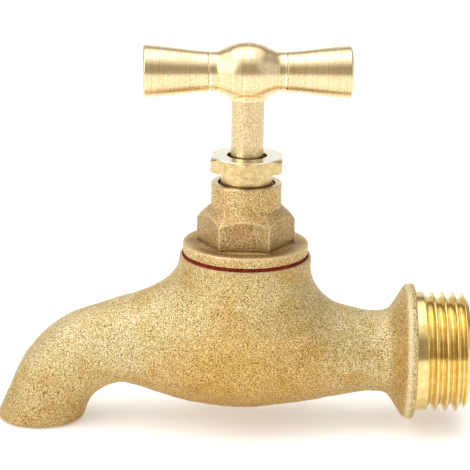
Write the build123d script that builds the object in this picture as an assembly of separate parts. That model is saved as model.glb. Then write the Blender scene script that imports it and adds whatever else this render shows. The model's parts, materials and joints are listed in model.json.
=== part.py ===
from build123d import *
import math
import os

# Hose bib (garden tap) with a male G 1/2 inlet, a screw-down valve and a T-handle.
# Millimetres. The origin is on the inlet axis at the shoulder face of the inlet
# flange; +X runs out of the inlet, the spout is toward -X and +Z is up.

# ---- driving dimensions -----------------------------------------------------
# inlet thread: G 1/2, 14 threads to the inch
thread_d = 20.955
thread_pitch = 25.4 / 14
thread_depth = 0.640327 * thread_pitch
thread_length = 9.2           # shoulder face to end of thread
thread_land = 1.9             # plain land at the full thread diameter
inlet_bore_d = 13.8

# inlet flange and neck
flange_d = 23.8
flange_rim = 1.5
flange_edge = 0.35
neck_d = 14.1
neck_x = -5.4
wall = 2.05

# globe, bonnet seat and spout
stem_x = -29.8                # spindle axis
globe_r = 10.05               # half height
globe_half_width = 12.1
globe_reach = 9.5             # stem axis to the sections where the globe narrows
waist_reach = 15.2            # stem axis to the waist before the spout
seat_z = 17.35                # machined face under the washer
seat_d = 22.9
boss_fillet = 6.0
spout_reach = 19.9            # stem axis to the start of the spout bend
bend_z = -13.5                # centre of the spout bend
bend_r = 15.1
bend_angle = 70.0             # the spout leaves the bend this far round
spout_r = 7.8                 # at the start of the bend
mouth_r = 7.0
mouth_bore_d = 11.0
mouth_lip = 0.6
mouth_z = -12.9               # the spout is cut off level

# valve seat inside the body
valve_seat_z = 1.6
valve_seat_bore_d = 6.6
valve_seat_d = 10.4
floor_z = 0.4                 # top of the partition
partition = 2.0
chamber_d = 15.6

# bonnet (headgear)
washer_thick = 0.45
washer_d = 22.0
bonnet_flange_d = 21.72
bonnet_flange_t = 1.9
bonnet_thread_d = 16.6
bonnet_thread_pitch = 1.337
bonnet_thread_len = 5.2
bonnet_hex_af = 14.8
hex_crown_z = 25.0            # top of the hex at the middle of a flat
box_wall = 1.14               # round wall of the stuffing box
box_base_z = 26.25
box_top_z = 30.35
packing_space = 2.13          # stem to the stuffing box wall
box_floor_z = 23.8
box_floor_t = 1.5

# gland
gland_land = 1.16             # flat of the hexagon beyond the stuffing box bore
gland_hex_t = 2.45
gland_top_z = 35.1
gland_hole_gap = 0.63         # stem to the wide mouth of the nut
gland_neck_gap = 0.49         # neck of the nut to the stuffing box wall
gland_thread_pitch = 0.907
gland_turn = -2.6             # degrees, where the nut stopped
packing_washer_t = 0.6
packing_ring_t = 1.4

# spindle
stem_d = 5.62
spindle_thread_step = 1.14    # screw crest above the stem
spindle_lead = 2.0            # one start, pitch = lead
spindle_thread_top = 17.0
spindle_thread_bot = 8.0
nose_wall = 1.3
nose_z = 5.25
hub_foot_rise = 0.32          # foot of the hub above the bottom of its ball
shoulder = 1.21               # stem to the flats of the square tenon
turns_open = 2.5

# jumper valve
jumper_plate_d = 10.0
jumper_plate_t = 1.8
jumper_stem_d = 3.2
jumper_stem_top = 14.2
jumper_groove_d = 2.0
stud_d = 2.5
seat_washer_d = 9.6
seat_washer_t = 1.8
washer_nut_af = 4.6
washer_nut_t = 1.7
pin_d = 1.0
pin_z = 6.7

# T-handle
handle_z = 49.55
hub_r = 5.0
neck_r = 3.44
hub_half = 6.7                # stem axis to the joint with a grip
grip_end = 17.6
grip_end_r = 4.5
grip_spigot_d = 3.8
grip_spigot_len = 3.6
handle_turn = 2.6             # degrees, where the handle stopped

# fits, all radial
run_fit = 0.05                # stem in the bonnet floor
thread_gap = 0.1              # crest to the tapped wall
packing_fit = 0.02
square_fit = 0.04

# ---- sizes that follow ------------------------------------------------------
box_bore_d = stem_d + 2 * packing_space
box_d = box_bore_d + 2 * box_wall
gland_af = box_bore_d + 2 * gland_land
gland_neck_d = box_bore_d - 2 * gland_neck_gap
gland_hole_d = stem_d + 2 * gland_hole_gap
spindle_thread_d = stem_d + 2 * spindle_thread_step
jumper_bore_d = jumper_stem_d + 2 * thread_gap
nose_d = jumper_bore_d + 2 * nose_wall
tenon = stem_d - 2 * shoulder
bend_x = stem_x - spout_reach

# ---- helpers ----------------------------------------------------------------


def disc(d, z0, z1, x=stem_x):
    """Upright cylinder of diameter d between two heights."""
    return Pos(x, 0, (z0 + z1) / 2) * Cylinder(d / 2, z1 - z0)


def tube(d, bore, z0, z1, x=stem_x):
    """Upright ring between two heights."""
    return disc(d, z0, z1, x) - disc(bore, z0 - 1, z1 + 1, x)


def hexagon(af, z0, z1, turn=0, x=stem_x):
    """Upright hexagonal prism; turn 0 puts flats toward +Y and -Y."""
    flat = RegularPolygon(af / math.sqrt(3), 6, rotation=turn)
    return Pos(x, 0, z0) * extrude(flat, z1 - z0)


def turned(points):
    """Solid of revolution about Z from (radius, height) points."""
    return revolve(make_face(Plane.XZ * Polyline(*points, close=True)), Axis.Z, 360)


def ridge(d, depth, pitch, z0, turns, crest):
    """Helical thread ridge round Z: flat crest, straight flanks."""
    r_top = d / 2
    r_foot = r_top - depth - 0.05
    path = Helix(pitch=pitch, height=turns * pitch, radius=r_top - depth / 2, center=(0, 0, z0))
    foot = pitch * 0.84
    edge = Polyline((r_foot, -foot / 2), (r_top, -crest / 2), (r_top, crest / 2),
                    (r_foot, foot / 2), close=True)
    return sweep(make_face(Plane.XZ * Pos(0, z0) * edge), path=path, is_frenet=True)


def section(x, z, half_y, half_z):
    """Elliptical face square to X."""
    plane = Plane(origin=(x, 0, z), x_dir=(0, 1, 0), z_dir=(-1, 0, 0))
    return plane * Ellipse(half_y, half_z)


def bend_section(angle, radius, reach=0.0):
    """Round face square to the spout bend; 0 at the top, 90 at the mouth."""
    a = math.radians(angle)
    out = Vector(-math.sin(a), 0, math.cos(a))
    centre = Vector(bend_x, 0, bend_z) + out * bend_r
    along = Vector(-math.cos(a), 0, -math.sin(a))
    plane = Plane(origin=centre + along * reach, x_dir=(0, 1, 0), z_dir=along)
    return plane * Circle(radius)


to_inlet = Rot(0, 90, 0)      # turns a shape made along +Z to lie along +X
at_stem = Pos(stem_x, 0, 0)

# ---- body: outside ----------------------------------------------------------
torpedo = loft([
    section(neck_x + 1.4, 0, neck_d / 2, neck_d / 2),
    section(neck_x - 2.2, 0, neck_d / 2 + 0.03, neck_d / 2 + 0.03),
    section(neck_x - 7.6, 0.1, neck_d / 2 + 1.15, neck_d / 2 + 0.95),
    section(stem_x + globe_reach, 0.3, globe_half_width - 1.8, globe_r - 0.7),
    section(stem_x, 0.1, globe_half_width, globe_r + 0.1),
    section(stem_x - globe_reach, 1.0, globe_half_width - 1.8, globe_r - 0.3),
    section(stem_x - waist_reach, 1.6, spout_r + 0.9, spout_r + 1.05),
    bend_section(0, spout_r),
    bend_section(0.2 * bend_angle, 0.7 * spout_r + 0.3 * mouth_r),
    bend_section(0.45 * bend_angle, 0.3 * spout_r + 0.7 * mouth_r),
    bend_section(0.7 * bend_angle, mouth_r + 0.05),
    bend_section(bend_angle, mouth_r),
    bend_section(bend_angle, mouth_r + 0.15, reach=4.0),
    bend_section(bend_angle, mouth_r + 0.35, reach=8.5),
])
torpedo -= Pos(bend_x - bend_r, 0, mouth_z - 10) * Box(40, 40, 20)
boss = disc(seat_d, 1.0, seat_z)
outer = torpedo + boss
meeting = [e for e in outer.edges()
           if e.bounding_box().min.Z > 1.1 and e.bounding_box().max.Z < seat_z - boss_fillet]
outer = fillet(meeting, boss_fillet)
lip = outer.edges().sort_by(Axis.Z)[0]
outer = fillet(lip, mouth_lip)

flange_r = flange_d / 2
flank_x = -flange_rim
flange = revolve(make_face(
    Polyline((neck_x, 0), (neck_x, neck_d / 2))
    + Spline((neck_x, neck_d / 2), (neck_x + 1.7, neck_d / 2 + 1.5), (flank_x, flange_r - 0.25),
             tangents=((1, 0), (0.55, 1)))
    + Polyline((flank_x, flange_r - 0.25), (flank_x + 0.3, flange_r), (-flange_edge, flange_r),
               (0, flange_r - flange_edge), (0, 0), (neck_x, 0))), Axis.X, 360)

thread_minor_d = thread_d - 2 * thread_depth
ridge_start = thread_land + 0.45
ridge_end = thread_length - 0.42 * thread_pitch - 0.1
inlet_ridge = ridge(thread_d, thread_depth, thread_pitch, ridge_start,
                    (ridge_end - ridge_start) / thread_pitch, 0.32)
core = turned([(0, -2), (thread_d / 2, -2), (thread_d / 2, thread_land),
               (thread_minor_d / 2, thread_land), (thread_minor_d / 2, thread_length - 0.3),
               (thread_minor_d / 2 - 0.3, thread_length), (0, thread_length)])
spigot = to_inlet * (core + inlet_ridge)
outer = outer + flange + spigot

# ---- body: waterways --------------------------------------------------------
bonnet_bore_d = bonnet_thread_d + 2 * thread_gap
bonnet_nose_z = seat_z + washer_thick - bonnet_thread_len - 1.3
inlet_way = loft([
    section(1.0, 0, neck_d / 2 - wall, neck_d / 2 - wall),
    section(neck_x - 3.6, 0, neck_d / 2 - wall, neck_d / 2 - wall),
    section(stem_x + chamber_d / 2 + 7.0, -1.0, 5.4, 4.1),
    section(stem_x + chamber_d / 2 + 0.5, -4.5, 6.0, 2.8),
    section(stem_x, floor_z - partition - 3.2, 6.2, 3.0),
    section(stem_x - 5.0, floor_z - partition - 3.0, 4.6, 2.4),
])
inlet_bore = to_inlet * turned([(0, -2.5), (neck_d / 2 - wall, -2.5), (inlet_bore_d / 2, -0.5),
                                (inlet_bore_d / 2, thread_length + 1), (0, thread_length + 1)])
chamber = disc(chamber_d, floor_z, seat_z + 1) + disc(bonnet_bore_d, bonnet_nose_z - 0.3, seat_z + 1)
bore_r = mouth_bore_d / 2
spout_way = loft([
    section(stem_x - 4.0, 4.8, 5.4, 3.2),
    section(stem_x - globe_reach - 0.7, 3.6, 5.6, 4.2),
    section(stem_x - waist_reach, 2.3, bore_r, 5.0),
    bend_section(0, bore_r),
])
bend_axis = Axis((bend_x, 0, bend_z), (0, -1, 0))
spout_way += revolve(bend_section(0, bore_r), bend_axis, bend_angle)
spout_way += extrude(bend_section(bend_angle, bore_r), 14)
seat_ring = disc(valve_seat_d, floor_z - 0.5, valve_seat_z)
seat_bore = disc(valve_seat_bore_d, floor_z - partition - 3.2, valve_seat_z + 1)
body = outer - chamber - spout_way + seat_ring - inlet_way - inlet_bore - seat_bore

# ---- bonnet and its washer --------------------------------------------------
flange_z = seat_z + washer_thick
hex_z = flange_z + bonnet_flange_t
thread_z = flange_z - bonnet_thread_len
bonnet_washer = tube(washer_d, bonnet_thread_d + 0.3, seat_z, flange_z)

bonnet_flange = disc(bonnet_flange_d, flange_z, hex_z)
bonnet_flange = fillet(bonnet_flange.edges(), 0.3)
crown_slope = (box_base_z - hex_crown_z) / ((bonnet_hex_af - box_d) / 2)
crown = at_stem * turned([(0, hex_z - 0.5), (9.6, hex_z - 0.5),
                          (9.6, hex_crown_z - crown_slope * (9.6 - bonnet_hex_af / 2)),
                          (box_d / 2, box_base_z), (0, box_base_z)])
bonnet_hex = hexagon(bonnet_hex_af, hex_z - 0.5, box_base_z) & crown
box = disc(box_d, box_base_z - 0.5, box_top_z)
box = fillet(box.edges().sort_by(Axis.Z)[-1], 0.25)
bonnet_depth = 0.6403 * bonnet_thread_pitch
bonnet_root_d = bonnet_thread_d - 2 * bonnet_depth
bonnet_ridge = at_stem * ridge(bonnet_thread_d, bonnet_depth, bonnet_thread_pitch,
                               thread_z + 0.75, 2.6, 0.24)
stalk = disc(bonnet_root_d, bonnet_nose_z, flange_z + 0.5) + bonnet_ridge
spindle_bore_d = spindle_thread_d + 2 * thread_gap
bonnet = bonnet_flange + bonnet_hex + box + stalk
bonnet -= disc(box_bore_d, box_floor_z, box_top_z + 1)
bonnet -= disc(stem_d + 2 * run_fit, box_floor_z - 3, box_top_z)
bonnet -= disc(spindle_bore_d, bonnet_nose_z - 1, box_floor_z - box_floor_t)
mouth_edge = bonnet.edges().filter_by(GeomType.CIRCLE).filter_by(
    lambda e: abs(e.radius - box_bore_d / 2) < 0.01).sort_by(Axis.Z)[-1]
bonnet = chamfer(mouth_edge, 0.2)

# ---- gland: packing and nut -------------------------------------------------
packing_z = box_floor_z + packing_washer_t
ring_od = box_bore_d - 2 * packing_fit
ring_id = stem_d + 2 * run_fit
packing_washer = tube(ring_od, ring_id, box_floor_z, packing_z)
packing_ring_lower = tube(ring_od, ring_id, packing_z, packing_z + packing_ring_t)
packing_ring_upper = tube(ring_od, ring_id, packing_z + packing_ring_t,
                          packing_z + 2 * packing_ring_t)

gland_z = packing_z + 2 * packing_ring_t
gland_hex_z = gland_top_z - gland_hex_t
gland_r = gland_af / 2
gland_crown = at_stem * turned([(0, gland_hex_z), (gland_r + 0.5, gland_hex_z),
                                (1.18 * gland_r, gland_hex_z + 0.35),
                                (1.18 * gland_r, gland_top_z - 0.5),
                                (gland_r, gland_top_z), (0, gland_top_z)])
gland_depth = 0.45
gland_thread_d = box_bore_d - 2 * thread_gap
gland_ridge = at_stem * ridge(gland_thread_d, gland_depth, gland_thread_pitch,
                              gland_z + 0.55, 1.9, 0.2)
gland_core_r = gland_thread_d / 2 - gland_depth
gland_shank = at_stem * turned([(0, gland_z), (gland_core_r, gland_z), (gland_core_r, gland_hex_z - 2.5),
                                (gland_neck_d / 2, gland_hex_z - 2.5), (gland_neck_d / 2, gland_hex_z + 0.1),
                                (0, gland_hex_z + 0.1)])
gland_nut = (hexagon(gland_af, gland_hex_z, gland_top_z, 30 + gland_turn) & gland_crown) + gland_shank
gland_nut += gland_ridge
gland_nut -= disc(stem_d + 4 * run_fit, gland_z - 1, gland_top_z + 1)
gland_nut -= disc(gland_hole_d, gland_top_z - 1.6, gland_top_z + 1)

# ---- spindle ----------------------------------------------------------------
hub_foot_z = handle_z - hub_r + hub_foot_rise
spindle_depth = 0.42 * spindle_lead
spindle_core_d = spindle_thread_d - 2 * spindle_depth
spindle = disc(nose_d, nose_z, spindle_thread_bot + 0.5)
spindle += disc(spindle_core_d, spindle_thread_bot, spindle_thread_top)
spindle += at_stem * ridge(spindle_thread_d, spindle_depth, spindle_lead,
                           spindle_thread_bot + spindle_lead / 2, 3.5, 0.7)
spindle += disc(stem_d, spindle_thread_top - 0.5, hub_foot_z)
tenon_len = handle_z + hub_r - hub_foot_z
spindle += Pos(stem_x, 0, hub_foot_z + tenon_len / 2 - 0.5) * Rot(0, 0, handle_turn) \
    * Box(tenon, tenon, tenon_len + 1)
spindle -= disc(jumper_bore_d, nose_z - 1, jumper_stem_top + 0.5)

# the pin crosses the nose beside the jumper stem and runs in its groove
pin_y = -(jumper_groove_d / 2 + thread_gap + pin_d / 2)
pin_half = math.sqrt((nose_d / 2) ** 2 - pin_y ** 2) - 0.1
across_nose = Pos(stem_x, pin_y, pin_z) * Rot(0, 90, 0)
jumper_pin = across_nose * Cylinder(pin_d / 2, 2 * pin_half)
spindle -= across_nose * Cylinder(pin_d / 2, nose_d + 1)

# ---- jumper valve -----------------------------------------------------------
plate_z = valve_seat_z + seat_washer_t
plate_top = plate_z + jumper_plate_t
jumper_valve = disc(jumper_plate_d, plate_z, plate_top)
jumper_valve = chamfer(jumper_valve.edges().sort_by(Axis.Z)[-1], 0.3)
jumper_valve += disc(jumper_stem_d, plate_top - 0.2, jumper_stem_top)
jumper_valve -= tube(jumper_stem_d + 1, jumper_groove_d,
                     pin_z - pin_d / 2 - thread_gap, pin_z + pin_d / 2 + thread_gap)
jumper_valve += disc(stud_d, valve_seat_z - washer_nut_t - 0.4, plate_z + 0.2)
seat_washer = tube(seat_washer_d, stud_d + 2 * run_fit, valve_seat_z, plate_z)
washer_nut = hexagon(washer_nut_af, valve_seat_z - washer_nut_t, valve_seat_z)
washer_nut -= disc(stud_d + 2 * run_fit, valve_seat_z - washer_nut_t - 1, valve_seat_z + 1)

# ---- T-handle ---------------------------------------------------------------
swell = Spline((0, hub_r), (2.55, 4.6), (4.55, 3.75), (hub_half - 0.9, neck_r),
               tangents=((1, 0), (1, 0)))
half_hub = revolve(make_face(swell + Polyline((hub_half - 0.9, neck_r), (hub_half, neck_r),
                                              (hub_half, 0), (0, 0), (0, hub_r))), Axis.X, 360)
at_bar = Pos(stem_x, 0, handle_z) * Rot(0, 0, handle_turn)
ball = at_bar * (half_hub + mirror(half_hub, about=Plane.YZ))
spindle &= disc(2 * stem_d, nose_z - 1, handle_z) + ball
foot_d = stem_d + 1.1
handle_hub = ball + disc(foot_d, hub_foot_z, hub_foot_z + 2)
handle_hub -= at_bar * Box(tenon + 2 * square_fit, tenon + 2 * square_fit, 4 * hub_r)
handle_hub -= disc(2 * foot_d, 0, hub_foot_z)

socket_d = grip_spigot_d + 2 * thread_gap
socket_len = grip_spigot_len + 0.3
grip_len = grip_end - hub_half
outline = Spline((hub_half + 0.15, neck_r), (hub_half + 0.46 * grip_len, neck_r + 0.5),
                 (grip_end - 0.35, grip_end_r), tangents=((1, 0.06), (1, 0.04)))
grip_face = make_face(
    outline
    + Polyline((grip_end - 0.35, grip_end_r), (grip_end, grip_end_r - 0.35), (grip_end, 0),
               (hub_half - grip_spigot_len, 0), (hub_half - grip_spigot_len, grip_spigot_d / 2),
               (hub_half, grip_spigot_d / 2), (hub_half, neck_r - 0.15),
               (hub_half + 0.15, neck_r)))
grip = revolve(grip_face, Axis.X, 360)
for side in (-1, 1):
    handle_hub -= at_bar * Pos(side * (hub_half - socket_len / 2 + 0.5), 0, 0) * Rot(0, 90, 0) \
        * Cylinder(socket_d / 2, socket_len + 1)
handle_grip_right = at_bar * grip
handle_grip_left = at_bar * mirror(grip, about=Plane.YZ)

# ---- write ------------------------------------------------------------------
pieces = {
    "body": body,
    "bonnet": bonnet,
    "bonnet_washer": bonnet_washer,
    "packing_washer": packing_washer,
    "packing_ring_lower": packing_ring_lower,
    "packing_ring_upper": packing_ring_upper,
    "gland_nut": gland_nut,
    "spindle": spindle,
    "jumper_pin": jumper_pin,
    "jumper_valve": jumper_valve,
    "seat_washer": seat_washer,
    "washer_nut": washer_nut,
    "handle_hub": handle_hub,
    "handle_grip_left": handle_grip_left,
    "handle_grip_right": handle_grip_right,
}
os.makedirs("parts", exist_ok=True)
for name, shape in pieces.items():
    export_step(shape, f"parts/{name}.step")
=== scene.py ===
import json
import math

import bpy
import numpy as np
from mathutils import Matrix, Vector


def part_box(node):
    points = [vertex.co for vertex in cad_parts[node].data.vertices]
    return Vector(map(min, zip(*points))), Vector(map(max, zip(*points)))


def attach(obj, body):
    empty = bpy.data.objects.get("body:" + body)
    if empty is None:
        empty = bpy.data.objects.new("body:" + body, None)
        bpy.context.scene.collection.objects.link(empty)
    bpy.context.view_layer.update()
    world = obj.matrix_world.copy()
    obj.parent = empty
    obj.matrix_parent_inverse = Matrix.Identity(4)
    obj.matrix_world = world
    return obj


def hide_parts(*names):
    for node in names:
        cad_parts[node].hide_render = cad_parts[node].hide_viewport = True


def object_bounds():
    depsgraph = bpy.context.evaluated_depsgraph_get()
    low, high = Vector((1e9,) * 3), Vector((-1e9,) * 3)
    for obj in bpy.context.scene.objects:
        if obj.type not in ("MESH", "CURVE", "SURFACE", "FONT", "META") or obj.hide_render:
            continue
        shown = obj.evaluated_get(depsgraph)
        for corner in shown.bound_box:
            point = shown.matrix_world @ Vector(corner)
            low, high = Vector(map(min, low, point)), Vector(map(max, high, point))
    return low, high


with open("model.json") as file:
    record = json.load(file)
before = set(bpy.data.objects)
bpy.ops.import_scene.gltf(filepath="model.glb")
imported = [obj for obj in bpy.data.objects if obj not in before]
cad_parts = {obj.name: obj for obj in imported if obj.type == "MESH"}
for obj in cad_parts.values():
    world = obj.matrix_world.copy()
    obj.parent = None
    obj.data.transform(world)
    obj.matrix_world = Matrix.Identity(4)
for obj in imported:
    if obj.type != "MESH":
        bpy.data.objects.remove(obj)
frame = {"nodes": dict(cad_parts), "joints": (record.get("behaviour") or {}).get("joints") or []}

cad_lo, cad_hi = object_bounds()
scene = bpy.context.scene
nodes = frame["nodes"]
mm = 0.001          # shapes are worked out in millimetres and become metres in their mesh

# ---- Camera -----------------------------------------------------------------
# A long lens a little under 40 cm away, looking down on the tap's side.
cam_target = Vector((-31.64, 0.0, 20.72)) * mm
cam_distance = 368 * mm
cam_azimuth, cam_elevation, cam_roll = map(math.radians, (-0.31, 16.3, 0.94))
away = Vector((math.sin(cam_azimuth) * math.cos(cam_elevation),
               -math.cos(cam_azimuth) * math.cos(cam_elevation), math.sin(cam_elevation)))
cam_data = bpy.data.cameras.new("camera")
cam_data.lens = 162.7
cam_data.sensor_width = 36
cam_data.clip_start, cam_data.clip_end = 0.01, 20
camera = bpy.data.objects.new("camera", cam_data)
scene.collection.objects.link(camera)
aim = (-away).to_track_quat("-Z", "Y").to_matrix().to_4x4()
camera.matrix_world = (Matrix.Translation(cam_target + away * cam_distance) @ aim
                       @ Matrix.Rotation(cam_roll, 4, "Z"))
scene.camera = camera

# ---- Studio -----------------------------------------------------------------
# A white table in a white tent, brightest overhead. A dim opening at its front, a
# dark beam high at its back and dim sides give the brass its darker bands.
scene.view_settings.view_transform = "Standard"
world = bpy.data.worlds.new("studio")
scene.world = world
world.use_nodes = True
sky = world.node_tree
toward = sky.nodes.new("ShaderNodeTexCoord").outputs["Generated"]
parts = sky.nodes.new("ShaderNodeSeparateXYZ")
sky.links.new(toward, parts.inputs[0])


def sky_band(axis, stops):
    """Grey level of the room against one component of the direction."""
    span = sky.nodes.new("ShaderNodeMapRange")
    span.inputs["From Min"].default_value = -1
    sky.links.new(parts.outputs[axis], span.inputs["Value"])
    ramp = sky.nodes.new("ShaderNodeValToRGB")
    while len(ramp.color_ramp.elements) < len(stops):
        ramp.color_ramp.elements.new(0.5)
    for e, (at, level) in zip(ramp.color_ramp.elements, stops):
        e.position, e.color = (at + 1) / 2, (level, level, level, 1)
    sky.links.new(span.outputs["Result"], ramp.inputs["Fac"])
    return ramp.outputs["Color"]


def sky_product(a, b, how="MULTIPLY", share=1.0):
    """Two sky colours multiplied, or mixed in a share."""
    m = sky.nodes.new("ShaderNodeMix")
    m.data_type, m.blend_type = "RGBA", how
    for value, socket in ((share, m.inputs[0]), (a, m.inputs[6]), (b, m.inputs[7])):
        if isinstance(value, (float, tuple)):
            socket.default_value = value
        else:
            sky.links.new(value, socket)
    return m.outputs[2]


tent = sky_band("Z", [(-1, 0.4), (0.0, 0.52), (0.5, 0.56), (0.8, 0.80), (1, 0.85)])
opening = sky_product(sky_band("X", [(-0.42, 0), (-0.26, 1), (0.42, 1), (0.55, 0)]),
                      sky_band("Z", [(-0.2, 0), (-0.1, 1), (0.62, 1), (0.82, 0)]))
opening = sky_product(opening, sky_band("Y", [(-0.3, 1), (0.0, 0)]))
tent = sky_product(tent, sky_band("Y", [(-1, 0.72), (0.0, 0.80), (0.5, 1.0), (1, 1.0)]))
tent = sky_product(tent, sky_band("X", [(-1, 0.55), (-0.85, 0.6), (-0.6, 1), (0.45, 1), (0.6, 0.40),
                                        (0.86, 0.40), (0.95, 0.9)]))
beam = sky_product(sky_band("Y", [(0.2, 0), (0.4, 1)]),
                   sky_band("Z", [(0.46, 0), (0.56, 1), (0.72, 1), (0.82, 0)]))
tent = sky_product(tent, (0.16, 0.14, 0.11, 1), "MIX", beam)
tent = sky_product(tent, (0.22, 0.195, 0.155, 1), "MIX", opening)
background = sky.nodes["Background"]
sky.links.new(tent, background.inputs["Color"])
background.inputs["Strength"].default_value = 1.78


table = bpy.data.materials.new("table")
table.use_nodes = True
for key, value in (("Base Color", (0.93, 0.93, 0.93, 1)), ("Roughness", 0.9),
                   ("Emission Color", (1, 1, 1, 1)), ("Emission Strength", 0.30)):
    table.node_tree.nodes["Principled BSDF"].inputs[key].default_value = value
floor_z = cad_lo.z - 0.25 * mm
floor_half = 3
floor_mesh = bpy.data.meshes.new("floor")
floor_mesh.from_pydata([(x * floor_half, y * floor_half, floor_z)
                        for x, y in ((-1, -1), (1, -1), (1, 1), (-1, 1))], [], [(0, 1, 2, 3)])
floor = bpy.data.objects.new("floor", floor_mesh)
floor.data.materials.append(table)
scene.collection.objects.link(floor)


def soft_light(name, place, size, power):
    """A square area light at place, in metres, aimed at the middle of the tap."""
    data = bpy.data.lights.new(name, "AREA")
    data.shape = "SQUARE"
    data.size = size
    data.energy = power
    light = bpy.data.objects.new(name, data)
    light.location = place
    light.rotation_mode = "QUATERNION"
    light.rotation_quaternion = (cam_target - Vector(place)).to_track_quat("-Z", "Y")
    scene.collection.objects.link(light)


soft_light("top light", (-0.12, 0.00, 0.55), 0.40, 0.8)
soft_light("left light", (-0.55, -0.35, 0.35), 0.60, 1.7)
soft_light("right light", (0.50, -0.35, 0.30), 0.50, 0.35)

# ---- Body -------------------------------------------------------------------
# One sand casting in brass: inlet neck and flange, round globe with its bonnet
# boss, and a downturned spout, cored hollow, with a raised valve seat inside.
body_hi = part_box("body")[1]
stem_x = next(j["pos_m"][0] for j in frame["joints"] if j["name"] == "handle_turn") / mm
seat_z = body_hi.z / mm             # machined face under the bonnet
seat_r = 11.45
mouth_z = -12.9
bend_x, bend_z, bend_r = -49.7, -13.5, 15.1
bend_end = math.radians(70)         # the spout leaves its bend this far round
wall_floor_z = 0.4                  # floor of the chamber, beside the valve seat
valve_seat_z, valve_seat_r, valve_bore_r = 1.6, 5.2, 3.3
chamber_r, bonnet_bore_r, bonnet_nose_z = 7.8, 8.4, 11.0
spout_bore_r = 5.5


def smooth_through(x, knots, values):
    """Cubic curve through the values at the knots, its slope at each knot the mean
    of the runs either side; flat beyond the ends."""
    knots, values = np.asarray(knots, float), np.asarray(values, float)
    slope = np.gradient(values, knots)
    x = np.clip(x, knots[0], knots[-1])
    i = np.clip(np.searchsorted(knots, x) - 1, 0, len(knots) - 2)
    h = knots[i + 1] - knots[i]
    t = (x - knots[i]) / h
    return ((2 * t**3 - 3 * t**2 + 1) * values[i] + (t**3 - 2 * t**2 + t) * h * slope[i]
            + (3 * t**2 - 2 * t**3) * values[i + 1] + (t**3 - t**2) * h * slope[i + 1])


def joined(a, b, radius):
    """Distance to two solids joined with a fillet: outside both by less than the
    radius, the radius less the length of the two remainders."""
    return np.maximum(radius, np.minimum(a, b)) - np.hypot(
        np.maximum(radius - a, 0), np.maximum(radius - b, 0))


def cut(a, b, radius):
    """Distance to solid a without solid b, the new edge rounded to the radius."""
    return -joined(-a, b, radius)


def along_spout(x, z):
    """Distance along the tap's middle line from the inlet face, and height above it:
    a level run, an arc about the bend's centre, and a straight end."""
    turn = np.arctan2(bend_x - x, z - bend_z)
    out = np.hypot(bend_x - x, z - bend_z)
    end_x = bend_x - bend_r * math.sin(bend_end)
    end_z = bend_z + bend_r * math.cos(bend_end)
    ahead = -(x - end_x) * math.cos(bend_end) - (z - end_z) * math.sin(bend_end)
    across = -(x - end_x) * math.sin(bend_end) + (z - end_z) * math.cos(bend_end)
    level, tail = x >= bend_x, (x < bend_x) & ((turn > bend_end) | (turn < 0))
    run = np.where(level, -x, -bend_x + bend_r * turn)
    run = np.where(tail, -bend_x + bend_r * bend_end + ahead, run)
    height = np.where(level, z - (bend_z + bend_r), out - bend_r)
    return run, np.where(tail, across, height)


def oval(y, height, half_y, half_h):
    """Near enough the distance to an oval bar: the reach from its middle, less the
    reach to its edge in the same direction."""
    reach = np.hypot(y, height)
    share = np.sqrt((y / half_y)**2 + (height / half_h)**2)
    return reach - reach / np.maximum(share, 1e-6)


bend_run = -bend_x
spout_knots = [4, 7.6, 13, 20, -stem_x, 39, 45, bend_run, bend_run + 3.7, bend_run + 8.3,
               bend_run + 12.9, bend_run + 18.4, bend_run + 22.4, bend_run + 27]
centre_rise = [0, 0, .1, .3, .1, .85, 1.7, 1.6, 1.25, 1.45, 1.6, 1.6, 1.6, 1.6]
half_widths = [7.05, 7.08, 8.2, 10.3, 12.1, 10.5, 8.9, 7.8, 7.4, 7.2, 7.05, 7.0, 7.15, 7.4]
half_heights = [7.05, 7.08, 8.0, 9.35, 10.15, 10.1, 9.4, 7.9, 7.15, 7.15, 7.05, 7.0, 7.15, 7.4]
flange_knots = [0, 0.3, 0.9, 1.55, 1.9, 2.6, 3.4, 4.3, 5.2, 7.5]
flange_radii = [11.65, 11.85, 11.88, 11.72, 11.35, 10.25, 8.95, 7.75, 7.1, 6.8]


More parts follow.
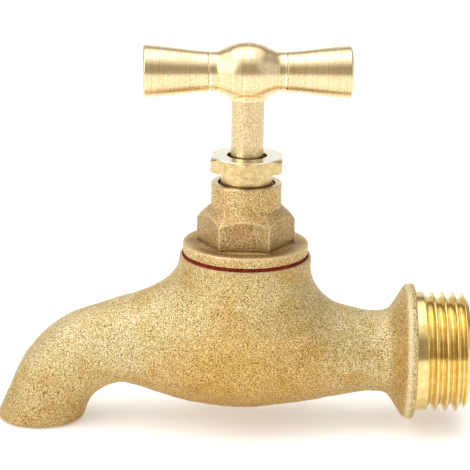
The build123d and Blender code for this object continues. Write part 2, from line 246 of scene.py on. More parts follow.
def casting(x, y, z):
    """Signed distance to the casting, in millimetres: the bar along the middle line
    joined to the flange and boss, less the bores."""
    run, height = along_spout(x, z)
    rise = smooth_through(run, spout_knots, centre_rise) - centre_rise[-1]
    skin = oval(y, height - rise, smooth_through(run, spout_knots, half_widths),
                smooth_through(run, spout_knots, half_heights))
    from_axis = np.hypot(y, z)
    flange = np.where(-x < 7.4, 0.8 * (from_axis - smooth_through(-x, flange_knots, flange_radii)), 9.0)
    from_stem = np.hypot(x - stem_x, y)
    boss = from_stem - seat_r + 0.8 * np.maximum(6 - z, 0) + 0.1 * np.maximum(-2 - z, 0)**2
    skin = joined(skin, boss, 6.0)
    skin = joined(skin, flange, 0.6)
    skin = cut(skin, seat_z - z, 0.3)
    skin = cut(skin, -x, 0.2)
    skin = cut(skin, z - mouth_z, 0.7)

    way_run = [-stem_x + 4, 40, 45, bend_run]
    way = oval(y, height - smooth_through(run, way_run, [3.2, 2.0, 0.7, 0]),
               smooth_through(run, way_run, [5.4, 5.6, spout_bore_r, spout_bore_r]),
               smooth_through(run, way_run, [3.2, 4.2, 5.0, spout_bore_r]))
    way = np.maximum(way, -stem_x + 4 - run)
    chamber = np.maximum(from_stem - chamber_r, wall_floor_z - z)
    chamber = np.minimum(chamber, np.maximum(from_stem - bonnet_bore_r, bonnet_nose_z - z))
    seat = np.maximum(from_stem - valve_seat_r, z - valve_seat_z)
    hollow = np.maximum(np.minimum(way, chamber), -seat)
    low_run = [0, 9, 15, 21.5, -stem_x, -stem_x + 5]
    low = oval(y, z - smooth_through(-x, low_run, [0, 0, -1.0, -4.5, -4.8, -4.6]),
               smooth_through(-x, low_run, [5.0, 5.0, 5.4, 6.0, 6.2, 4.6]),
               smooth_through(-x, low_run, [5.0, 5.0, 4.1, 2.8, 3.0, 2.4]))
    low = np.maximum(low, stem_x - 5 - x)
    mouth = np.maximum(from_axis - np.interp(x, [-2.5, -0.5], [4.9, 6.9]), -2.6 - x)
    low = np.minimum(low, mouth)
    seat_bore = np.maximum(from_stem - valve_bore_r, np.abs(z) - 4.5)
    hollow = np.minimum(hollow, np.minimum(low, seat_bore))
    return cut(skin, hollow, 0.35)


def lattice_noise(p, size, seed):
    """Smooth random bumps between -1 and 1: random values on a lattice of the given
    size in millimetres, blended by a smooth step in each direction."""
    q = p / size
    cell = np.floor(q).astype(np.int64)
    t = q - cell
    t = t * t * (3 - 2 * t)
    total = 0
    for dx in (0, 1):
        for dy in (0, 1):
            for dz in (0, 1):
                h = ((cell[:, 0] + dx) * 73856093 ^ (cell[:, 1] + dy) * 19349663
                     ^ (cell[:, 2] + dz) * 83492791 ^ seed * 2654435761)
                h = (h ^ (h >> 13)) * 1274126177 & 0x7FFFFFFF
                h = (h ^ (h >> 16)) * 2246822519 & 0x7FFFFFFF
                w = (np.abs(1 - dx - t[:, 0]) * np.abs(1 - dy - t[:, 1]) * np.abs(1 - dz - t[:, 2]))
                total = total + w * (h / 0x3FFFFFFF - 1)
    return total


def skin_mesh(name, solid, low, high, step):
    """Closed surface of a signed distance: one vertex in each lattice cell that the
    surface crosses, at the mean of its crossings, and one quad round each crossed edge.
    Returns the points and quads as arrays."""
    axes = [np.arange(a, b + step, step) for a, b in zip(low, high)]
    shape = [len(a) for a in axes]
    value = np.empty(shape)
    for i, x in enumerate(axes[0]):
        yy, zz = np.meshgrid(axes[1], axes[2], indexing="ij")
        value[i] = solid(np.full_like(yy, x), yy, zz)
    inside = value < 0
    cells = [n - 1 for n in shape]
    total, count = np.zeros((*cells, 3)), np.zeros(cells)
    crossings = []
    for axis in range(3):
        a = np.moveaxis(value, axis, 0)
        ia = np.moveaxis(inside, axis, 0)
        crossed = np.moveaxis(ia[1:] != ia[:-1], 0, axis)
        with np.errstate(divide="ignore", invalid="ignore"):
            share = np.moveaxis(a[:-1] / (a[:-1] - a[1:]), 0, axis)
        share = np.where(crossed, share, 0)
        crossings.append((crossed, np.moveaxis(ia[:-1], 0, axis)))
        others = [k for k in range(3) if k != axis]
        for s in (0, 1):
            for t in (0, 1):
                pick = [slice(None)] * 3
                pick[others[0]] = slice(s, s + cells[others[0]])
                pick[others[1]] = slice(t, t + cells[others[1]])
                hit, at = crossed[tuple(pick)], share[tuple(pick)]
                count += hit
                total[..., axis] += at
                total[..., others[0]] += s * hit
                total[..., others[1]] += t * hit
    used = count > 0
    index = np.full(cells, -1)
    index[used] = np.arange(used.sum())
    corner = np.stack(np.nonzero(used), -1)
    points = (corner + total[used] / count[used][:, None]) * step + np.array(low)
    quads = []
    for axis, (crossed, first_in) in enumerate(crossings):
        b, c = (axis + 1) % 3, (axis + 2) % 3
        at = np.stack(np.nonzero(crossed), -1)
        at = at[(at[:, b] > 0) & (at[:, c] > 0) & (at[:, b] < cells[b]) & (at[:, c] < cells[c])]
        forward = first_in[tuple(at.T)]
        ring = []
        for db, dc in ((1, 1), (0, 1), (0, 0), (1, 0)):
            cell = at.copy()
            cell[:, b] -= db
            cell[:, c] -= dc
            ring.append(index[tuple(cell.T)])
        ring = np.stack(ring, -1)
        quads.append(np.where(forward[:, None], ring, ring[:, ::-1]))
    return points, np.concatenate(quads)


def slope_of(solid, p, h=0.02):
    """Gradient of a signed distance by differences of 2 h across each axis."""
    g = np.empty_like(p)
    for k in range(3):
        d = np.zeros(3)
        d[k] = h
        g[:, k] = (solid(*(p + d).T) - solid(*(p - d).T)) / (2 * h)
    return g


def settle(solid, p, rounds=3):
    """Moves points onto the surface: each round by distance over slope, along the slope."""
    for _ in range(rounds):
        g = slope_of(solid, p)
        p = p - np.clip(solid(*p.T) / np.maximum((g**2).sum(1), 0.05), -0.2, 0.2)[:, None] * g
    return p


def make_piece(name, points, faces, body, material):
    """Mesh object from points in millimetres and quads or triangles, on its CAD body."""
    mesh = bpy.data.meshes.new(name)
    faces = np.asarray(faces, np.int32)
    mesh.vertices.add(len(points))
    mesh.vertices.foreach_set("co", (np.asarray(points) * mm).astype(np.float32).ravel())
    mesh.loops.add(faces.size)
    mesh.loops.foreach_set("vertex_index", faces.ravel())
    mesh.polygons.add(len(faces))
    mesh.polygons.foreach_set("loop_start", np.arange(len(faces), dtype=np.int32) * faces.shape[1])
    mesh.polygons.foreach_set("use_smooth", np.full(len(faces), True))
    mesh.update(calc_edges=True)
    mesh.validate()
    piece = bpy.data.objects.new(name, mesh)
    piece.data.materials.append(material)
    scene.collection.objects.link(piece)
    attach(piece, body)
    return piece


def keep_values(piece, name, values):
    """Stores one number for each vertex, for the material to read."""
    piece.data.attributes.new(name, "FLOAT", "POINT").data.foreach_set("value", values.astype(np.float32))


class Finish:
    """A metal's material as a small node tree, read from Object coordinates in metres."""

    def __init__(self, name, metallic=1.0):
        self.material = bpy.data.materials.new(name)
        self.material.use_nodes = True
        self.tree = self.material.node_tree
        self.shader = self.tree.nodes["Principled BSDF"]
        self.shader.inputs["Metallic"].default_value = metallic
        self.place = self.tree.nodes.new("ShaderNodeTexCoord").outputs["Object"]

    def node(self, kind, **settings):
        n = self.tree.nodes.new("ShaderNode" + kind)
        for key, value in settings.items():
            setattr(n, key, value)
        return n

    def join(self, source, target):
        self.tree.links.new(source, target)

    def moved(self, scale=(1, 1, 1), turn=(0, 0, 0)):
        m = self.node("Mapping")
        m.inputs["Scale"].default_value = scale
        m.inputs["Rotation"].default_value = turn
        self.join(self.place, m.inputs["Vector"])
        return m.outputs["Vector"]

    def noise(self, size, detail=2.0, rough=0.5, vector=None):
        """Noise whose lumps are about size metres across."""
        n = self.node("TexNoise")
        n.inputs["Scale"].default_value = 1 / size
        n.inputs["Detail"].default_value = detail
        n.inputs["Roughness"].default_value = rough
        self.join(vector or self.place, n.inputs["Vector"])
        return n.outputs["Fac"]

    def near(self, place, reach):
        """1 at a place, in metres, falling evenly to 0 at the reach."""
        m = self.node("Mapping")
        m.inputs["Scale"].default_value = (1 / reach,) * 3
        m.inputs["Location"].default_value = [-c / reach for c in place]
        self.join(self.place, m.inputs["Vector"])
        g = self.node("TexGradient", gradient_type="SPHERICAL")
        self.join(m.outputs["Vector"], g.inputs["Vector"])
        return g.outputs["Fac"]

    def stored(self, name):
        """A number kept on the mesh."""
        return self.node("Attribute", attribute_name=name).outputs["Fac"]

    def height(self, low, high):
        """0 at the low height and 1 at the high one, in metres."""
        xyz = self.node("SeparateXYZ")
        self.join(self.place, xyz.inputs[0])
        span = self.node("MapRange")
        span.inputs["From Min"].default_value = low
        span.inputs["From Max"].default_value = high
        self.join(xyz.outputs["Z"], span.inputs["Value"])
        return span.outputs["Result"]

    def ramp(self, value, stops):
        """Colours or greys against a value: stops are (position, colour or grey)."""
        r = self.node("ValToRGB")
        band = r.color_ramp
        while len(band.elements) < len(stops):
            band.elements.new(0.5)
        for e, (at, c) in zip(band.elements, stops):
            e.position = at
            e.color = (*c, 1) if isinstance(c, tuple) else (c, c, c, 1)
        self.join(value, r.inputs["Fac"])
        return r.outputs["Color"]

    def mix(self, a, b, fac, how="MIX"):
        m = self.node("Mix", data_type="RGBA", blend_type=how)
        for value, socket in ((fac, m.inputs[0]), (a, m.inputs[6]), (b, m.inputs[7])):
            if isinstance(value, (int, float)):
                socket.default_value = value
            elif isinstance(value, tuple):
                socket.default_value = (*value, 1)
            else:
                self.join(value, socket)
        return m.outputs[2]

    def dirty(self, name):
        """Darkens the finish where a kept value marks a pit."""
        link = self.shader.inputs["Base Color"].links[0]
        self.join(self.mix(link.from_socket, (0.06, 0.03, 0.02), self.stored(name)),
                  self.shader.inputs["Base Color"])

    def bump(self, height, depth, strength=1.0, under=None):
        b = self.node("Bump")
        b.inputs["Strength"].default_value = strength
        b.inputs["Distance"].default_value = depth
        self.join(height, b.inputs["Height"])
        if under is not None:
            self.join(under, b.inputs["Normal"])
        return b.outputs["Normal"]


# Sand-cast skin: fine grain over soft lumps, brownish in the pits; painted shade makes it darker and deeper
# gold below and on the flange's cone, and a painted highlight lightens the height of the spout's top.
cast = Finish("cast_brass", metallic=0.85)
grain = cast.noise(0.00021, 2.0, 0.6)
patch = cast.noise(0.0060, 3.0, 0.6)
tone = cast.ramp(grain, [(0.33, (0.20, 0.12, 0.035)), (0.44, (0.59, 0.45, 0.18)),
                         (0.54, (0.81, 0.68, 0.38)), (0.66, (1.0, 0.97, 0.78))])
tone = cast.mix(tone, cast.ramp(patch, [(0.32, (0.90, 0.78, 0.56)), (0.5, (0.98, 0.95, 0.88)),
                                        (0.70, (1.0, 1.0, 1.0))]), 1.0, "MULTIPLY")
# Painted shade: a darker, deeper-gold patch on the lower front of the globe.
tone = cast.mix(tone, (0.93, 0.80, 0.55), cast.ramp(cast.near((-0.030, -0.010, -0.004), 0.022),
                                                    [(0.1, 0.0), (0.6, 1.0)]), "MULTIPLY")
# Painted light and shade by height: lightest at the height of the spout's top, darker towards the underside
# and towards the top of the boss.
tone = cast.mix(tone, cast.ramp(cast.height(-0.013, 0.0175), [
    (0.0, (0.78, 0.66, 0.48)), (0.38, (0.94, 0.90, 0.82)), (0.60, (1.0, 1.0, 1.0)),
    (0.78, (1.0, 0.99, 0.96)), (1.0, (0.86, 0.77, 0.60))]), 1.0, "MULTIPLY")
# Painted shade on the flange's cone, read from a kept value.
tone = cast.mix(tone, (0.90, 0.83, 0.66), cast.stored("tan"), "MULTIPLY")
tone = cast.mix(tone, (0.95, 0.85, 0.60), cast.stored("worn"))
cast.join(tone, cast.shader.inputs["Base Color"])
cast.join(cast.ramp(grain, [(0.3, 0.66), (0.7, 0.42)]), cast.shader.inputs["Roughness"])
lumps = cast.noise(0.0011, 2.0, 0.5)
cast.join(cast.bump(grain, 0.00016, 1.0, under=cast.bump(lumps, 0.00025, 0.7)),
          cast.shader.inputs["Normal"])

points, quads = skin_mesh("casting", casting, (-74.5, -13, -14.5), (1.0, 13, 18.5), 0.42)
points = settle(casting, points)
normal = slope_of(casting, points)
normal /= np.linalg.norm(normal, axis=1)[:, None]
# Uneven as cast, but for the machined seat and the inlet's end; light where handled.
as_cast = (np.clip((seat_z - 0.5 - points[:, 2]) / 0.5, 0, 1)
           * np.clip((-0.3 - points[:, 0]) / 0.5, 0, 1))
rough = (0.05 * lattice_noise(points, 1.1, 3) + 0.07 * lattice_noise(points, 3.7, 5)
         + 0.09 * lattice_noise(points, 9.0, 8))
points += normal * (rough * as_cast)[:, None]
casting_piece = make_piece("body_casting", points, quads, "valve_body", cast.material)
from_axis = np.hypot(points[:, 1], points[:, 2])
rim = np.exp(-((points[:, 0] + 1.35) / 0.40)**2) * (from_axis > 11.0)
from_stem = np.hypot(points[:, 0] - stem_x, points[:, 1])
seat_edge = np.exp(-((points[:, 2] - seat_z) / 0.35)**2) * (from_stem > seat_r - 0.8)
# Painted shade on the flange's cone, between the neck and the rim.
painted_cone_shade = np.exp(-((points[:, 0] + 3.2) / 2.0)**4) * np.clip(from_axis / 1.2 - 6.0, 0, 1)
keep_values(casting_piece, "worn", 0.6 * rim + 0.25 * seat_edge)
keep_values(casting_piece, "tan", painted_cone_shade)
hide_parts("body")

# ---- Inlet thread -----------------------------------------------------------
# Cut on the casting's end in a lathe: G 1/2, 14 turns to the inch, with a plain
# land by the flange and a chamfer at the end. Bright and sharp, never cast.
thread_r = 20.955 / 2
thread_pitch = 25.4 / 14
thread_depth = 0.6403 * thread_pitch
thread_end = body_hi.x / mm
thread_land = 1.9
inlet_bore_r = 6.9


def ring_faces(rows, columns):
    """Quads of a grid that closes on itself both ways: a turned ring."""
    r, c = np.meshgrid(np.arange(rows), np.arange(columns), indexing="ij")
    r2, c2 = (r + 1) % rows, (c + 1) % columns
    return np.stack([r * columns + c, r * columns + c2, r2 * columns + c2, r2 * columns + c],
                    -1).reshape(-1, 4)


def turned_grid(line, columns):
    """Angles, radii and levels of an outline turned into a grid of that many columns."""
    around = np.arange(columns) / columns * 2 * math.pi
    return around, np.repeat(line[:, :1], columns, 1), np.repeat(line[:, 1:], columns, 1)


def outline(corners, step=0.25):
    """Points along a closed outline with rounded corners. Each corner is
    (radius from axis, place along axis, rounding); a rounding is a circular arc
    that touches both runs, and long runs are divided at the step."""
    c = np.array([k[:2] for k in corners], float)
    n = len(c)
    points = []
    for i, k in enumerate(corners):
        before, here, after = c[i - 1], c[i], c[(i + 1) % n]
        a, b = before - here, after - here
        la, lb = np.linalg.norm(a), np.linalg.norm(b)
        a, b = a / la, b / lb
        half = math.acos(np.clip(a @ b, -1, 1)) / 2
        back = min(k[2] / math.tan(half), 0.49 * la, 0.49 * lb) if k[2] else 0
        if back < 1e-6:
            points.append(here[None])
            continue
        radius = back * math.tan(half)
        middle = here + (a + b) / np.linalg.norm(a + b) * radius / math.sin(half)
        start, end = here + a * back - middle, here + b * back - middle
        t = np.linspace(0, 1, max(4, int((math.pi - 2 * half) / 0.22) + 2))[:, None]
        whole = math.acos(np.clip(start @ end / radius**2, -1, 1))
        points.append(middle + (np.sin((1 - t) * whole) * start + np.sin(t * whole) * end)
                      / math.sin(whole))
    line = np.concatenate(points)
    dense = []
    for p, q in zip(line, np.roll(line, -1, axis=0)):
        cuts = max(1, int(np.linalg.norm(q - p) / step))
        dense.append(p + (q - p) * np.arange(cuts)[:, None] / cuts)
    return np.concatenate(dense)


def thread_shape(phase):
    """Height of a thread across one pitch, 0 at the root and 1 at the crest: a
    triangle wave with its tips cut off and softened."""
    wave = 1 - 2 * np.abs((phase + 0.5) % 1 - 0.5)
    s = np.clip(1.35 * (wave - 0.5) + 0.5, 0, 1)
    return s * s * (3 - 2 * s) * 0.55 + s * 0.45


def eased(x, a, b):
    """Smooth step from 0 at a to 1 at b."""
    t = np.clip((x - a) / (b - a), 0, 1)
    return t * t * (3 - 2 * t)


columns = 208
line = outline([(thread_r, -1, 0), (thread_r, thread_end, 0.12), (inlet_bore_r, thread_end, 0.25),
                (inlet_bore_r, -1, 0)], step=0.085)
around, radius, along = turned_grid(line, columns)
outside = radius > inlet_bore_r + 0.4
turn = around[None] / (2 * math.pi)
phase = (along - thread_land - 0.30) / thread_pitch - turn
depth = thread_depth * eased(along, thread_land - 1.0, thread_land + 0.9)
cut_r = thread_r - depth * (1 - thread_shape(phase))
cone_r = thread_r - np.maximum(along - (thread_end - 0.9), 0)
radius = np.where(outside, np.minimum(radius, np.minimum(cut_r, cone_r)), radius)
points = np.stack([along, radius * np.sin(around), -radius * np.cos(around)], -1)

bright = Finish("thread_brass")
bright.shader.inputs["Roughness"].default_value = 0.17
bright.join(bright.ramp(bright.noise(0.0015, 3), [(0.3, (0.78, 0.57, 0.20)), (0.7, (0.90, 0.72, 0.33))]),
            bright.shader.inputs["Base Color"])
thread = make_piece("inlet_thread", points.reshape(-1, 3), ring_faces(len(line), columns),
                    "valve_body", bright.material)

# ---- Bonnet -----------------------------------------------------------------
# The headgear: cast with a hexagon, then turned below and inside. Its flange
# presses on the fibre washer, and its stuffing box stands above the hexagon.
washer_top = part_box("bonnet_washer")[1].z / mm
bonnet_lo, bonnet_hi = (c.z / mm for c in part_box("bonnet"))
bonnet_flange_r, bonnet_hex_half, bonnet_turn = 10.86, 7.4, 27.5
bonnet_hex_z = washer_top + 1.9
bonnet_pitch, gland_pitch = 1.337, 0.907
crown_z, box_base_z, box_r, box_bore_r = 25.0, 26.25, 6.08, 4.94


def six_flats(angle, half, turn, sharp):
    """Radius of a hexagon at each angle: the half width over the largest cosine to a
    flat's direction, the corners rounded by a power mean in place of the largest."""
    flats = np.radians(turn) + np.arange(6)[:, None, None] * math.pi / 3
    facing = np.maximum(np.cos(np.asarray(angle)[None] - flats), 0)
    return half / (facing**sharp).sum(0)**(1 / sharp)


def less_of(a, b, soft):
    """The smaller of two radii, the meeting edge softened over a width."""
    h = np.clip(0.5 + 0.5 * (b - a) / soft, 0, 1)
    return b + (a - b) * h - soft * h * (1 - h)


def turned_points(radius, level, around):
    """Points of a ring turned about the upright spindle axis."""
    return np.stack([stem_x + radius * np.cos(around), radius * np.sin(around), level],
                    -1).reshape(-1, 3)


slope = (box_base_z - crown_z) / (bonnet_hex_half - box_r)
blank_r = bonnet_hex_half / math.cos(math.pi / 6) + 0.4
line = outline([
    (7.1, bonnet_lo, 0.2), (7.44, 12.9, 0), (8.3, 13.3, 0.1), (8.3, washer_top, 0),
    (bonnet_flange_r, washer_top, 0.25), (bonnet_flange_r, bonnet_hex_z, 0.3),
    (blank_r, bonnet_hex_z, 0), (blank_r, crown_z - slope * (blank_r - bonnet_hex_half), 0),
    (box_r, box_base_z, 0.5), (box_r, bonnet_hi, 0.22), (box_bore_r, bonnet_hi, 0.22),
    (box_bore_r, 23.8, 0), (2.86, 23.8, 0), (2.86, 22.3, 0), (4.05, 22.3, 0),
    (4.05, bonnet_lo, 0.15)], step=0.14)
around, radius, level = turned_grid(line, columns)
hexagon = six_flats(around[None], bonnet_hex_half, bonnet_turn, sharp=260)
# Handling wears the hexagon's edges and the flange's rim light; its flats stay darker, and painted shade
# darkens the corner where the hexagon meets the flange.
corner = np.exp(-((hexagon.max() - hexagon) / 0.06)**2) * (radius > box_r + 0.4)
worn = np.maximum(0.45 * np.exp(-((radius - hexagon - 0.02) / 0.13)**2), 0.50 * corner)
worn = np.where((level > bonnet_hex_z + 0.3) & (level < box_base_z), worn, 0)
rim = np.hypot(radius - bonnet_flange_r + 0.1, level - bonnet_hex_z + 0.1)
worn = np.maximum(worn, 0.5 * np.exp(-(rim / 0.35)**2))
# Painted shade in the corner where the hexagon meets the flange's top.
foot = (np.exp(-(np.maximum(level - bonnet_hex_z, 0) / 0.6)**2)
        * np.exp(-(np.maximum(radius - hexagon, 0) / 1.9)**2) * (level > bonnet_hex_z - 0.1))
on_flats = (radius > hexagon) & (level > bonnet_hex_z + 0.01) & (level < box_base_z)
flats_and_foot_shade = np.clip(0.5 * on_flats + foot, 0, 1)
# The hexagon cuts through the turned blank, and the thread below cuts into its outside.
milled = ((level >= bonnet_hex_z - 1e-6) & (level < box_base_z + 0.6) & (radius > box_r - 0.01)
          & (radius < blank_r + 0.01))
radius = np.where(milled, less_of(radius, hexagon, 0.12), radius)
under = (level < washer_top - 0.01) & (level > 12.95) & (radius > 7.2)
phase = (level - 13.5) / bonnet_pitch - around[None] / (2 * math.pi)
radius = np.where(under, radius - 0.86 * (1 - thread_shape(phase)), radius)
points = turned_points(radius, level, around)
# The skin left as cast is slightly uneven.
outer_cast = ((level > bonnet_hex_z + 0.4) & (level < bonnet_hi - 0.6) & (radius > 5.5)).reshape(-1)
rough = 0.02 * lattice_noise(points, 0.9, 21) + 0.035 * lattice_noise(points, 2.6, 22)
out = points - np.array([stem_x, 0, 0])
out[:, 2] = 0
out /= np.maximum(np.linalg.norm(out, axis=1), 1e-6)[:, None]
points += out * (rough * outer_cast)[:, None]

bonnet_cast = Finish("bonnet_brass", metallic=0.9)
grain = bonnet_cast.noise(0.00021, 2.0, 0.6)
patch = bonnet_cast.noise(0.004, 2.0, 0.5)
tone = bonnet_cast.ramp(grain, [(0.33, (0.20, 0.11, 0.035)), (0.44, (0.53, 0.37, 0.145)),
                                (0.54, (0.73, 0.54, 0.25)), (0.66, (1.0, 0.86, 0.52))])
tone = bonnet_cast.mix(tone, bonnet_cast.ramp(patch, [(0.3, (0.88, 0.76, 0.66)), (0.65, (1.0, 1.0, 0.98))]),
                       1.0, "MULTIPLY")
# The flats' own darker tone, with painted shade at the hexagon's foot.
tone = bonnet_cast.mix(tone, (0.53, 0.45, 0.38), bonnet_cast.stored("flats_and_foot_shade"), "MULTIPLY")
tone = bonnet_cast.mix(tone, (0.96, 0.79, 0.46), bonnet_cast.stored("worn"))
bonnet_cast.join(tone, bonnet_cast.shader.inputs["Base Color"])
bonnet_cast.join(bonnet_cast.ramp(grain, [(0.25, 0.6), (0.75, 0.4)]),
                 bonnet_cast.shader.inputs["Roughness"])
bonnet_cast.join(bonnet_cast.bump(grain, 0.00012, 0.9), bonnet_cast.shader.inputs["Normal"])
turned = Finish("turned_edge")
turned.join(turned.ramp(turned.noise(0.0005, 3), [(0.35, (0.72, 0.56, 0.32)), (0.65, (0.92, 0.78, 0.52))]),
            turned.shader.inputs["Base Color"])
turned.shader.inputs["Roughness"].default_value = 0.3
bonnet = make_piece("bonnet_headgear", points, ring_faces(len(line), columns), "valve_body",
                    bonnet_cast.material)
keep_values(bonnet, "worn", worn.reshape(-1))
keep_values(bonnet, "flats_and_foot_shade", flats_and_foot_shade.reshape(-1))
bonnet.data.materials.append(turned.material)
fresh = (line[:, 1] > bonnet_hi - 0.16) & (line[:, 0] > box_bore_r)
bonnet.data.polygons.foreach_set("material_index", np.repeat(fresh, columns).astype(np.int32))
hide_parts("bonnet")

# ---- Bonnet washer ----------------------------------------------------------
# Red vulcanised fibre ring, squeezed between the bonnet's flange and the body.
fibre = Finish("red_fibre", metallic=0.0)
fibre.join(fibre.ramp(fibre.noise(0.0006, 3), [(0.3, (0.12, 0.008, 0.003)), (0.7, (0.28, 0.022, 0.008))]),
           fibre.shader.inputs["Base Color"])
fibre.shader.inputs["Roughness"].default_value = 0.9
fibre.shader.inputs["Specular IOR Level"].default_value = 0.15


def coat(name, finish):
    """Gives a CAD piece that is shown as it is its finish."""
    nodes[name].data.materials.clear()
    nodes[name].data.materials.append(finish.material)


coat("bonnet_washer", fibre)

# ---- Gland nut --------------------------------------------------------------
# Turned and milled from bar: a thin hexagon on a plain neck, threaded at its end,
# which screws into the stuffing box and presses on the packing.
gland_lo, gland_hi = (c.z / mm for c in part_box("gland_nut"))
gland_half, gland_hex_t, gland_turn = 6.1, 2.45, -2.6
line = outline([
    (4.3, gland_lo, 0.1), (4.84, gland_lo + 0.4, 0.1), (4.84, gland_hi - gland_hex_t - 2.6, 0.1),
    (4.45, gland_hi - gland_hex_t - 2.4, 0.1), (4.45, gland_hi - gland_hex_t, 0.12),
    (6.7, gland_hi - gland_hex_t, 0.1), (7.15, gland_hi - gland_hex_t + 0.25, 0.05),
    (7.15, gland_hi - 0.5, 0.05), (6.15, gland_hi, 0.1), (3.44, gland_hi, 0.15),
    (3.44, gland_hi - 1.6, 0), (2.91, gland_hi - 1.9, 0), (2.91, gland_lo, 0.05)], step=0.12)
around, radius, level = turned_grid(line, columns)
hexagon = six_flats(around[None], gland_half, gland_turn, sharp=320)
milled = (level > gland_hi - gland_hex_t - 1e-6) & (radius > 4.5)
radius = np.where(milled, less_of(radius, hexagon, 0.1), radius)
under = (level < gland_hi - gland_hex_t - 2.5) & (radius > 4.2)
phase = (level - gland_lo) / gland_pitch - around[None] / (2 * math.pi)
radius = np.where(under, radius - 0.45 * (1 - thread_shape(phase)), radius)

milled_brass = Finish("milled_brass")
streak = milled_brass.noise(0.0004, 3.0, 0.6)
tone = milled_brass.ramp(milled_brass.noise(0.0009, 3, 0.6),
                         [(0.35, (0.54, 0.39, 0.17)), (0.6, (0.71, 0.55, 0.28))])
# The top face is painted near white as a painted highlight; packing grease darkens the foot of the neck.
painted_top_highlight = milled_brass.ramp(milled_brass.height(gland_hi * mm - 0.0002, gland_hi * mm - 0.00008),
                          [(0.0, 0.0), (1.0, 1.0)])
tone = milled_brass.mix(tone, (1.0, 0.97, 0.80), painted_top_highlight)
grease = milled_brass.ramp(milled_brass.height(0.0302, 0.0306), [(0.0, 1.0), (1.0, 0.0)])
tone = milled_brass.mix(tone, (0.09, 0.03, 0.015), grease)
milled_brass.join(tone, milled_brass.shader.inputs["Base Color"])
milled_brass.join(milled_brass.ramp(streak, [(0.3, 0.36), (0.7, 0.22)]),
                  milled_brass.shader.inputs["Roughness"])
milled_brass.join(milled_brass.bump(streak, 0.00003, 0.6), milled_brass.shader.inputs["Normal"])
gland = make_piece("gland_nut_turned", turned_points(radius, level, around),
                   ring_faces(len(line), columns), "valve_body", milled_brass.material)
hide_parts("gland_nut")

# ---- Packing ----------------------------------------------------------------
# Two turns of graphited yarn on a brass washer, at the foot of the stuffing box.
yarn = Finish("graphited_yarn", metallic=0.0)
yarn.join(yarn.ramp(yarn.noise(0.0004, 3), [(0.3, (0.02, 0.02, 0.02)), (0.7, (0.10, 0.095, 0.09))]),
          yarn.shader.inputs["Base Color"])
yarn.shader.inputs["Roughness"].default_value = 0.7
coat("packing_ring_lower", yarn)
coat("packing_ring_upper", yarn)
coat("packing_washer", milled_brass)

# ---- Spindle ----------------------------------------------------------------
# Turned bar: bored nose, coarse screw, long plain stem, and a square end that
# is peened over flush with the top of the handle's hub.
spindle_lo, spindle_hi = (c.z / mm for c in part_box("spindle"))
handle_z = (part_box("handle_grip_left")[0].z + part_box("handle_grip_left")[1].z) / 2 / mm
stem_r, screw_r, screw_lead = 2.81, 3.95, 2.0
stem_columns = 144
line = outline([
    (1.7, spindle_lo, 0.1), (3.0, spindle_lo, 0.2), (3.0, 8.0, 0), (screw_r, 8.6, 0.1),
    (screw_r, 17.0, 0.3), (stem_r, 17.0, 0.2), (stem_r, handle_z - 4.68, 0.1), (1.9, handle_z - 4.6, 0),
    (1.9, handle_z + 4.0, 0), (0.85, handle_z + 4.95, 0.05), (0.02, handle_z + 4.97, 0),
    (0.02, 14.9, 0), (1.7, 14.7, 0)], step=0.2)
around, radius, level = turned_grid(line, stem_columns)
screwed = (level > 8.0) & (level < 17.0) & (radius > 2.95)
phase = (level - 9.0) / screw_lead - around[None] / (2 * math.pi)
radius = np.where(screwed, np.maximum(radius - 0.84 * (1 - thread_shape(phase)), 3.05), radius)

stem_brass = Finish("stem_brass")
# Fine turning rings under small flecks.
rings = stem_brass.noise(0.00012, 2.0, 0.6, stem_brass.moved(scale=(0.05, 0.05, 1)))
fleck = stem_brass.noise(0.00030, 3.0, 0.7)
stem_brass.join(stem_brass.ramp(fleck, [(0.34, (0.42, 0.29, 0.12)), (0.45, (0.65, 0.49, 0.26)),
                                        (0.60, (0.77, 0.62, 0.37))]),
                stem_brass.shader.inputs["Base Color"])
stem_brass.join(stem_brass.ramp(fleck, [(0.3, 0.32), (0.7, 0.20)]), stem_brass.shader.inputs["Roughness"])
stem_brass.join(stem_brass.bump(rings, 0.00003, 0.7, under=stem_brass.bump(fleck, 0.00003, 0.5)),
                stem_brass.shader.inputs["Normal"])
spindle = make_piece("spindle_turned", turned_points(radius, level, around),
                     ring_faces(len(line), stem_columns), "spindle_set",
                     stem_brass.material)
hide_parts("spindle")

# ---- T-handle ---------------------------------------------------------------
# Three pieces turned from bar and polished: a barrel with a ball in its middle and
# a foot round the stem, and a flared grip screwed into each end.
handle_turn = math.radians(2.6)
hub_neck_r, hub_half = 3.44, 6.7
bar_columns = 160
grip_end, grip_end_r = 17.7, 4.5
handle_slip = 0.2                   # the bar sits this far off the stem's middle
filed_flat = 4.93                   # filed level round the peened end


def bar_points(line):
    """Points of a shape turned about the handle's own axis; its first and last rows
    are on the axis."""
    around, radius, along = turned_grid(line, bar_columns)
    x, y, z = along - handle_slip, radius * np.cos(around), radius * np.sin(around)
    return np.stack([stem_x + x * math.cos(handle_turn) - y * math.sin(handle_turn),
                     x * math.sin(handle_turn) + y * math.cos(handle_turn),
                     handle_z + np.minimum(z, filed_flat)], -1)


def bar_piece(name, line):
    """Closed turned piece of the handle: a grid of rings with a point at each end."""
    grid = bar_points(line)
    points = np.concatenate([grid[1:-1].reshape(-1, 3), grid[:1, 0], grid[-1:, 0]])
    k = np.arange(bar_columns)
    k2 = (k + 1) % bar_columns
    here = np.arange(len(line) - 3)[:, None] * bar_columns + k
    beside = np.arange(len(line) - 3)[:, None] * bar_columns + k2
    quads = np.stack([here, beside, beside + bar_columns, here + bar_columns], -1).reshape(-1, 4)
    first, last = len(points) - 2, len(points) - 1
    base = (len(line) - 3) * bar_columns
    triangles = np.concatenate([
        np.stack([np.full(bar_columns, first), k2, k], -1),
        np.stack([np.full(bar_columns, last), base + k, base + k2], -1),
        quads[:, [0, 1, 2]], quads[:, [0, 2, 3]]])
    return make_piece(name, points, triangles, "spindle_set", polish.material)


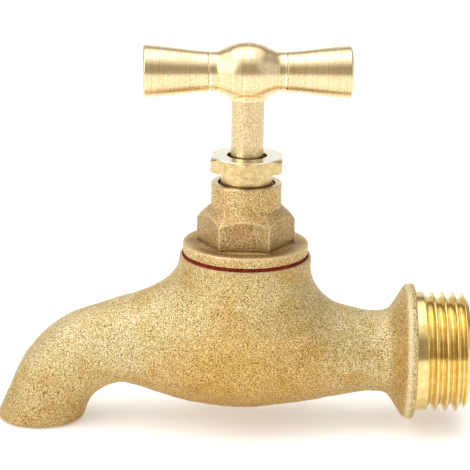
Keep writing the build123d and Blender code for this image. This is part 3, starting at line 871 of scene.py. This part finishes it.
polish = Finish("polished_brass")
bar_way = polish.moved(turn=(0, 0, -handle_turn))
squeeze = polish.node("Mapping")
squeeze.inputs["Scale"].default_value = (1, 0.02, 0.02)
polish.join(bar_way, squeeze.inputs["Vector"])
lines = polish.noise(0.00020, 3.0, 0.7, squeeze.outputs["Vector"])
fleck = polish.noise(0.00026, 3.0, 0.7)
scratched = polish.mix(lines, fleck, 0.6)
tone = polish.ramp(scratched, [(0.38, (0.64, 0.47, 0.23)), (0.47, (0.83, 0.64, 0.35)),
                               (0.58, (0.94, 0.77, 0.48))])
# The groove's faces are painted near white: a painted highlight along the turned groove.
polish.join(polish.mix(tone, (1.0, 0.97, 0.84), polish.stored("cut")), polish.shader.inputs["Base Color"])
polish.dirty("mark")
polish.join(polish.ramp(fleck, [(0.35, 0.34), (0.65, 0.20)]), polish.shader.inputs["Roughness"])
polish.join(polish.bump(scratched, 0.000025, 0.6), polish.shader.inputs["Normal"])

x = np.linspace(-hub_half, hub_half, 140)
swell = smooth_through(np.abs(x), [0, 1.3, 2.55, 3.56, 4.35, 4.9, 5.15, 6.7],
                       [5.0, 4.9, 4.6, 4.17, 3.82, 3.57, 3.47, 3.44])
# Profile of the turned groove, which also marks where the painted highlight goes.
groove_and_painted_highlight = np.exp(-((np.abs(x) - hub_half + 0.33) / 0.12)**4)
line = np.concatenate([[(0, -hub_half), (hub_neck_r - 0.03, -hub_half)],
                       np.stack([swell - 0.01 * groove_and_painted_highlight, x * 0.995], -1),
                       [(hub_neck_r - 0.03, hub_half), (0, hub_half)]])
hub = bar_piece("hub_barrel", line)
spots = np.empty(len(hub.data.vertices) * 3)
hub.data.vertices.foreach_get("co", spots)
punch_at = bar_points(np.array([[3.4, 6.62]]))[0, 98]
punched = np.linalg.norm(spots.reshape(-1, 3) / mm - punch_at, axis=1)
keep_values(hub, "mark", np.exp(-(punched / 0.26)**4))
keep_values(hub, "cut", np.append(np.repeat(np.concatenate([[0], groove_and_painted_highlight, [0]]), bar_columns), [0, 0]))
foot_r = stem_r + 0.55
line = outline([(1.0, handle_z - 4.68, 0), (foot_r, handle_z - 4.68, 0.15), (foot_r, handle_z - 3.0, 0),
                (1.0, handle_z - 3.0, 0)])
foot_columns = 96
around, radius, level = turned_grid(line, foot_columns)
foot = make_piece("hub_foot", turned_points(radius, level, around),
                  ring_faces(len(line), foot_columns), "spindle_set", polish.material)
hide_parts("handle_hub")

x = np.linspace(hub_half + 0.05, grip_end - 0.45, 120)
flare = smooth_through(x, [hub_half, 8.5, 11.6, 14.6, grip_end - 0.3],
                       [hub_neck_r, 3.56, 3.93, 4.27, grip_end_r])
edge = np.linspace(0, math.pi / 2, 8)[1:]
lip_r = 0.4
lip = np.stack([grip_end_r - lip_r + lip_r * np.cos(edge), grip_end - lip_r + lip_r * np.sin(edge)], -1)
line = np.concatenate([[(0, hub_half + 0.02), (hub_neck_r - 0.05, hub_half + 0.02)],
                       np.stack([flare, x], -1), lip, [(2.0, grip_end - 0.02), (0, grip_end - 0.03)]])
for name, side in (("grip_right", 1), ("grip_left", -1)):
    shaped = line * np.array([1, side])
    grip = bar_piece(name, shaped if side > 0 else shaped[::-1])
    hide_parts("handle_" + name)

# ---- Jumper valve -----------------------------------------------------------
# The disc that closes the seat: brass plate and stem, rubber washer, its nut, and
# the small pin that holds the stem in the spindle's nose.
seal = Finish("seal_rubber", metallic=0.0)
seal.join(seal.ramp(seal.noise(0.0006, 3), [(0.3, (0.01, 0.01, 0.01)), (0.7, (0.03, 0.03, 0.03))]),
          seal.shader.inputs["Base Color"])
seal.shader.inputs["Roughness"].default_value = 0.65
coat("jumper_valve", milled_brass)
coat("washer_nut", milled_brass)
coat("jumper_pin", stem_brass)
coat("seat_washer", seal)
